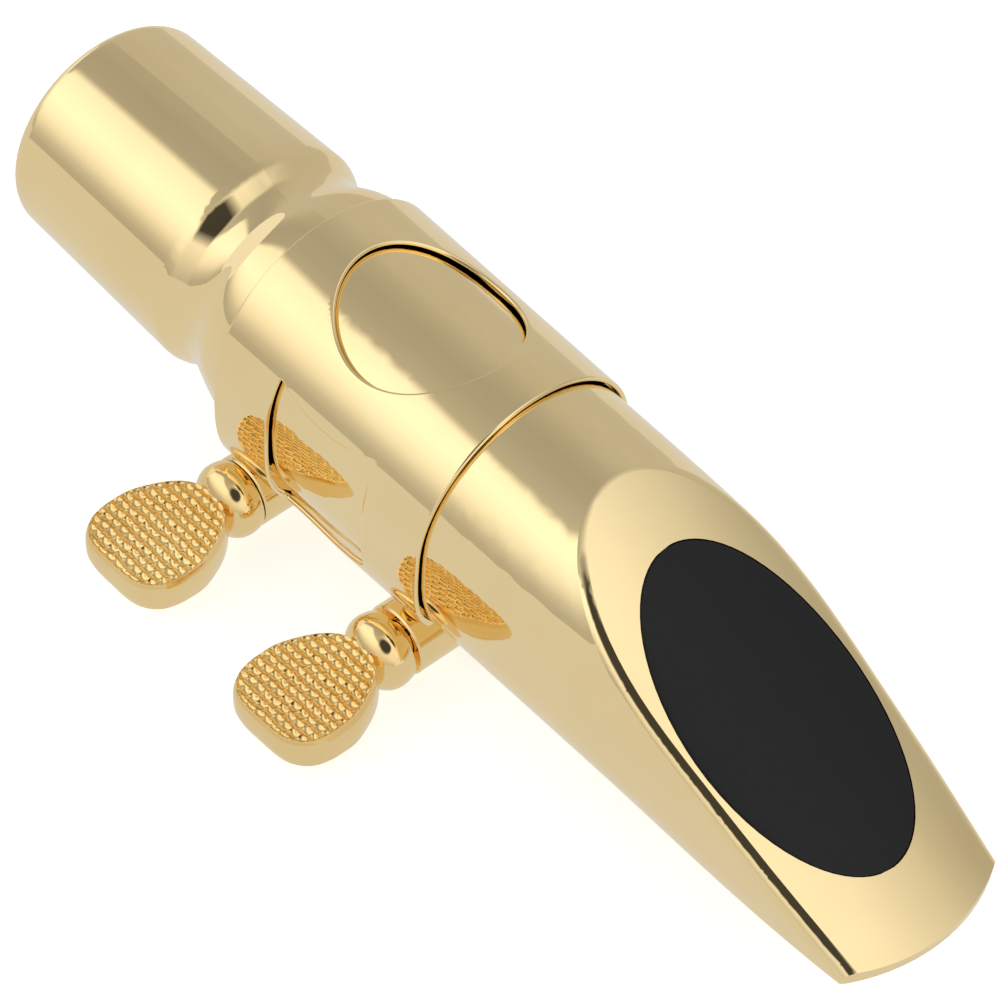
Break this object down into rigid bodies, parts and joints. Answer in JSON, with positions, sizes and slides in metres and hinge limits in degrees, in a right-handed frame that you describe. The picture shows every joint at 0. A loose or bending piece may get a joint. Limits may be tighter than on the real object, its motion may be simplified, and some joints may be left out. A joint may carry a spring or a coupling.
{
  "type": "saxophone mouthpiece with ligature",
  "caption": "Metal saxophone mouthpiece with an inlaid bite pad and a sheet-metal ligature band clamped round it by thumbscrews in soldered lugs.",
  "frame": {"origin": "centre of the mouth of the neck bore", "axes": "+X along the bore towards the tip, +Z towards the beak side, thumbscrew heads on the -Y side"},
  "size_m": [0.094, 0.0338, 0.0269],
  "materials": {
    "gold_body": "mirror-polished gold plate",
    "gold_band": "mirror-polished gold plate",
    "gold_lug": "polished gold plate",
    "gold_screw": "polished gold plate, woven relief on the paddle faces",
    "gold_rod": "threaded gold-plated rod",
    "pad": "smooth satin black"
  },
  "bodies": {
    "mouthpiece": {"mouthpiece_body": "gold_body", "bite_pad": "pad"},
    "ligature": {"ligature_band": "gold_band", "rear_plain_lug": "gold_lug", "front_plain_lug": "gold_lug", "rear_threaded_lug": "gold_lug", "front_threaded_lug": "gold_lug"},
    "rear_shaft": {"rear_screw_shaft": "gold_rod"},
    "front_shaft": {"front_screw_shaft": "gold_rod"},
    "rear_thumbscrew": {"rear_screw_head": "gold_screw"},
    "front_thumbscrew": {"front_screw_head": "gold_screw"}
  },
  "joints": [
    {"name": "ligature_slide", "type": "slide", "parent": "mouthpiece", "child": "ligature", "axis": [1, 0, 0], "range_m": [0, 0.075]},
    {"name": "rear_screw_travel", "type": "slide", "parent": "ligature", "child": "rear_shaft", "axis": [0, -1, 0], "range_m": [0, 0.0035]},
    {"name": "rear_screw_turn", "type": "hinge", "parent": "rear_shaft", "child": "rear_thumbscrew", "pos_m": [0.0287, -0.012, -0.0122], "axis": [0, -1, 0], "range_deg": [0, 1830]},
    {"name": "front_screw_travel", "type": "slide", "parent": "ligature", "child": "front_shaft", "axis": [0, -1, 0], "range_m": [0, 0.0035]},
    {"name": "front_screw_turn", "type": "hinge", "parent": "front_shaft", "child": "front_thumbscrew", "pos_m": [0.04685, -0.012, -0.0128], "axis": [0, -1, 0], "range_deg": [0, 1830]}
  ],
  "couplings": [
    {"joint": "rear_screw_turn", "follows": "rear_screw_travel", "rad_per_m": 8976},
    {"joint": "front_screw_turn", "follows": "front_screw_travel", "rad_per_m": 8976}
  ]
}
